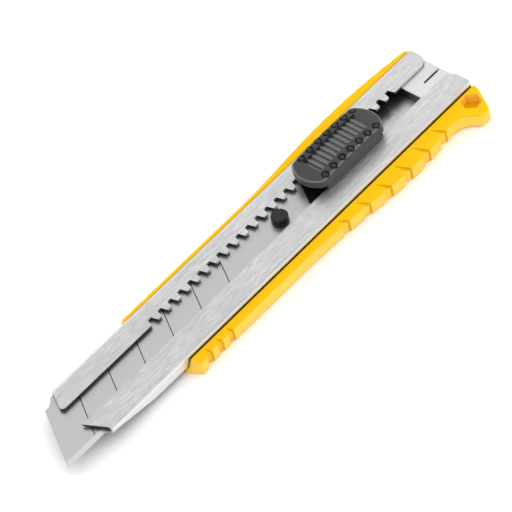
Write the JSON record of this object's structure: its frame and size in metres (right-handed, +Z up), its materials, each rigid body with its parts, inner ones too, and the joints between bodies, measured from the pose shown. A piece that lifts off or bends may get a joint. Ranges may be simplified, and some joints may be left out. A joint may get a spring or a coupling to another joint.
{
  "type": "utility knife",
  "caption": "Snap-off utility knife: a steel guide channel in a plastic handle tray, with a scored blade moved by a ribbed thumb slider and a pull-off end clip.",
  "frame": {"origin": "on the flat underside of the handle tray, below the blade's centreline and half way along the tray", "axes": "+X from the blade's tip to the tail, +Y from the cutting edge to the spine, +Z up through the thumb slider"},
  "size_m": [0.1457, 0.0323, 0.0103],
  "materials": {
    "yellow_plastic": "satin moulded",
    "guide_steel": "brushed along the length",
    "clip_steel": "bright",
    "blade_steel": "ground satin",
    "black_steel": "blackened",
    "black_plastic": "matte",
    "spring_steel": "plain",
    "grey_plastic": "fine grain"
  },
  "bodies": {
    "handle": {"handle_tray": "yellow_plastic", "guide_channel": "guide_steel"},
    "carriage": {"blade_carrier": "black_plastic", "blade": "blade_steel", "blade_stud": "black_steel", "thumb_slider": "grey_plastic", "lock_spring": "spring_steel"},
    "end_clip": {"end_clip": "clip_steel"}
  },
  "joints": [
    {"name": "blade_slide", "type": "slide", "parent": "handle", "child": "carriage", "axis": [1, 0, 0], "range_m": [-0.0525, 0.014], "deforming": ["lock_spring"]},
    {"name": "clip_pull", "type": "slide", "parent": "handle", "child": "end_clip", "axis": [1, 0, 0], "range_m": [0, 0.012]}
  ]
}
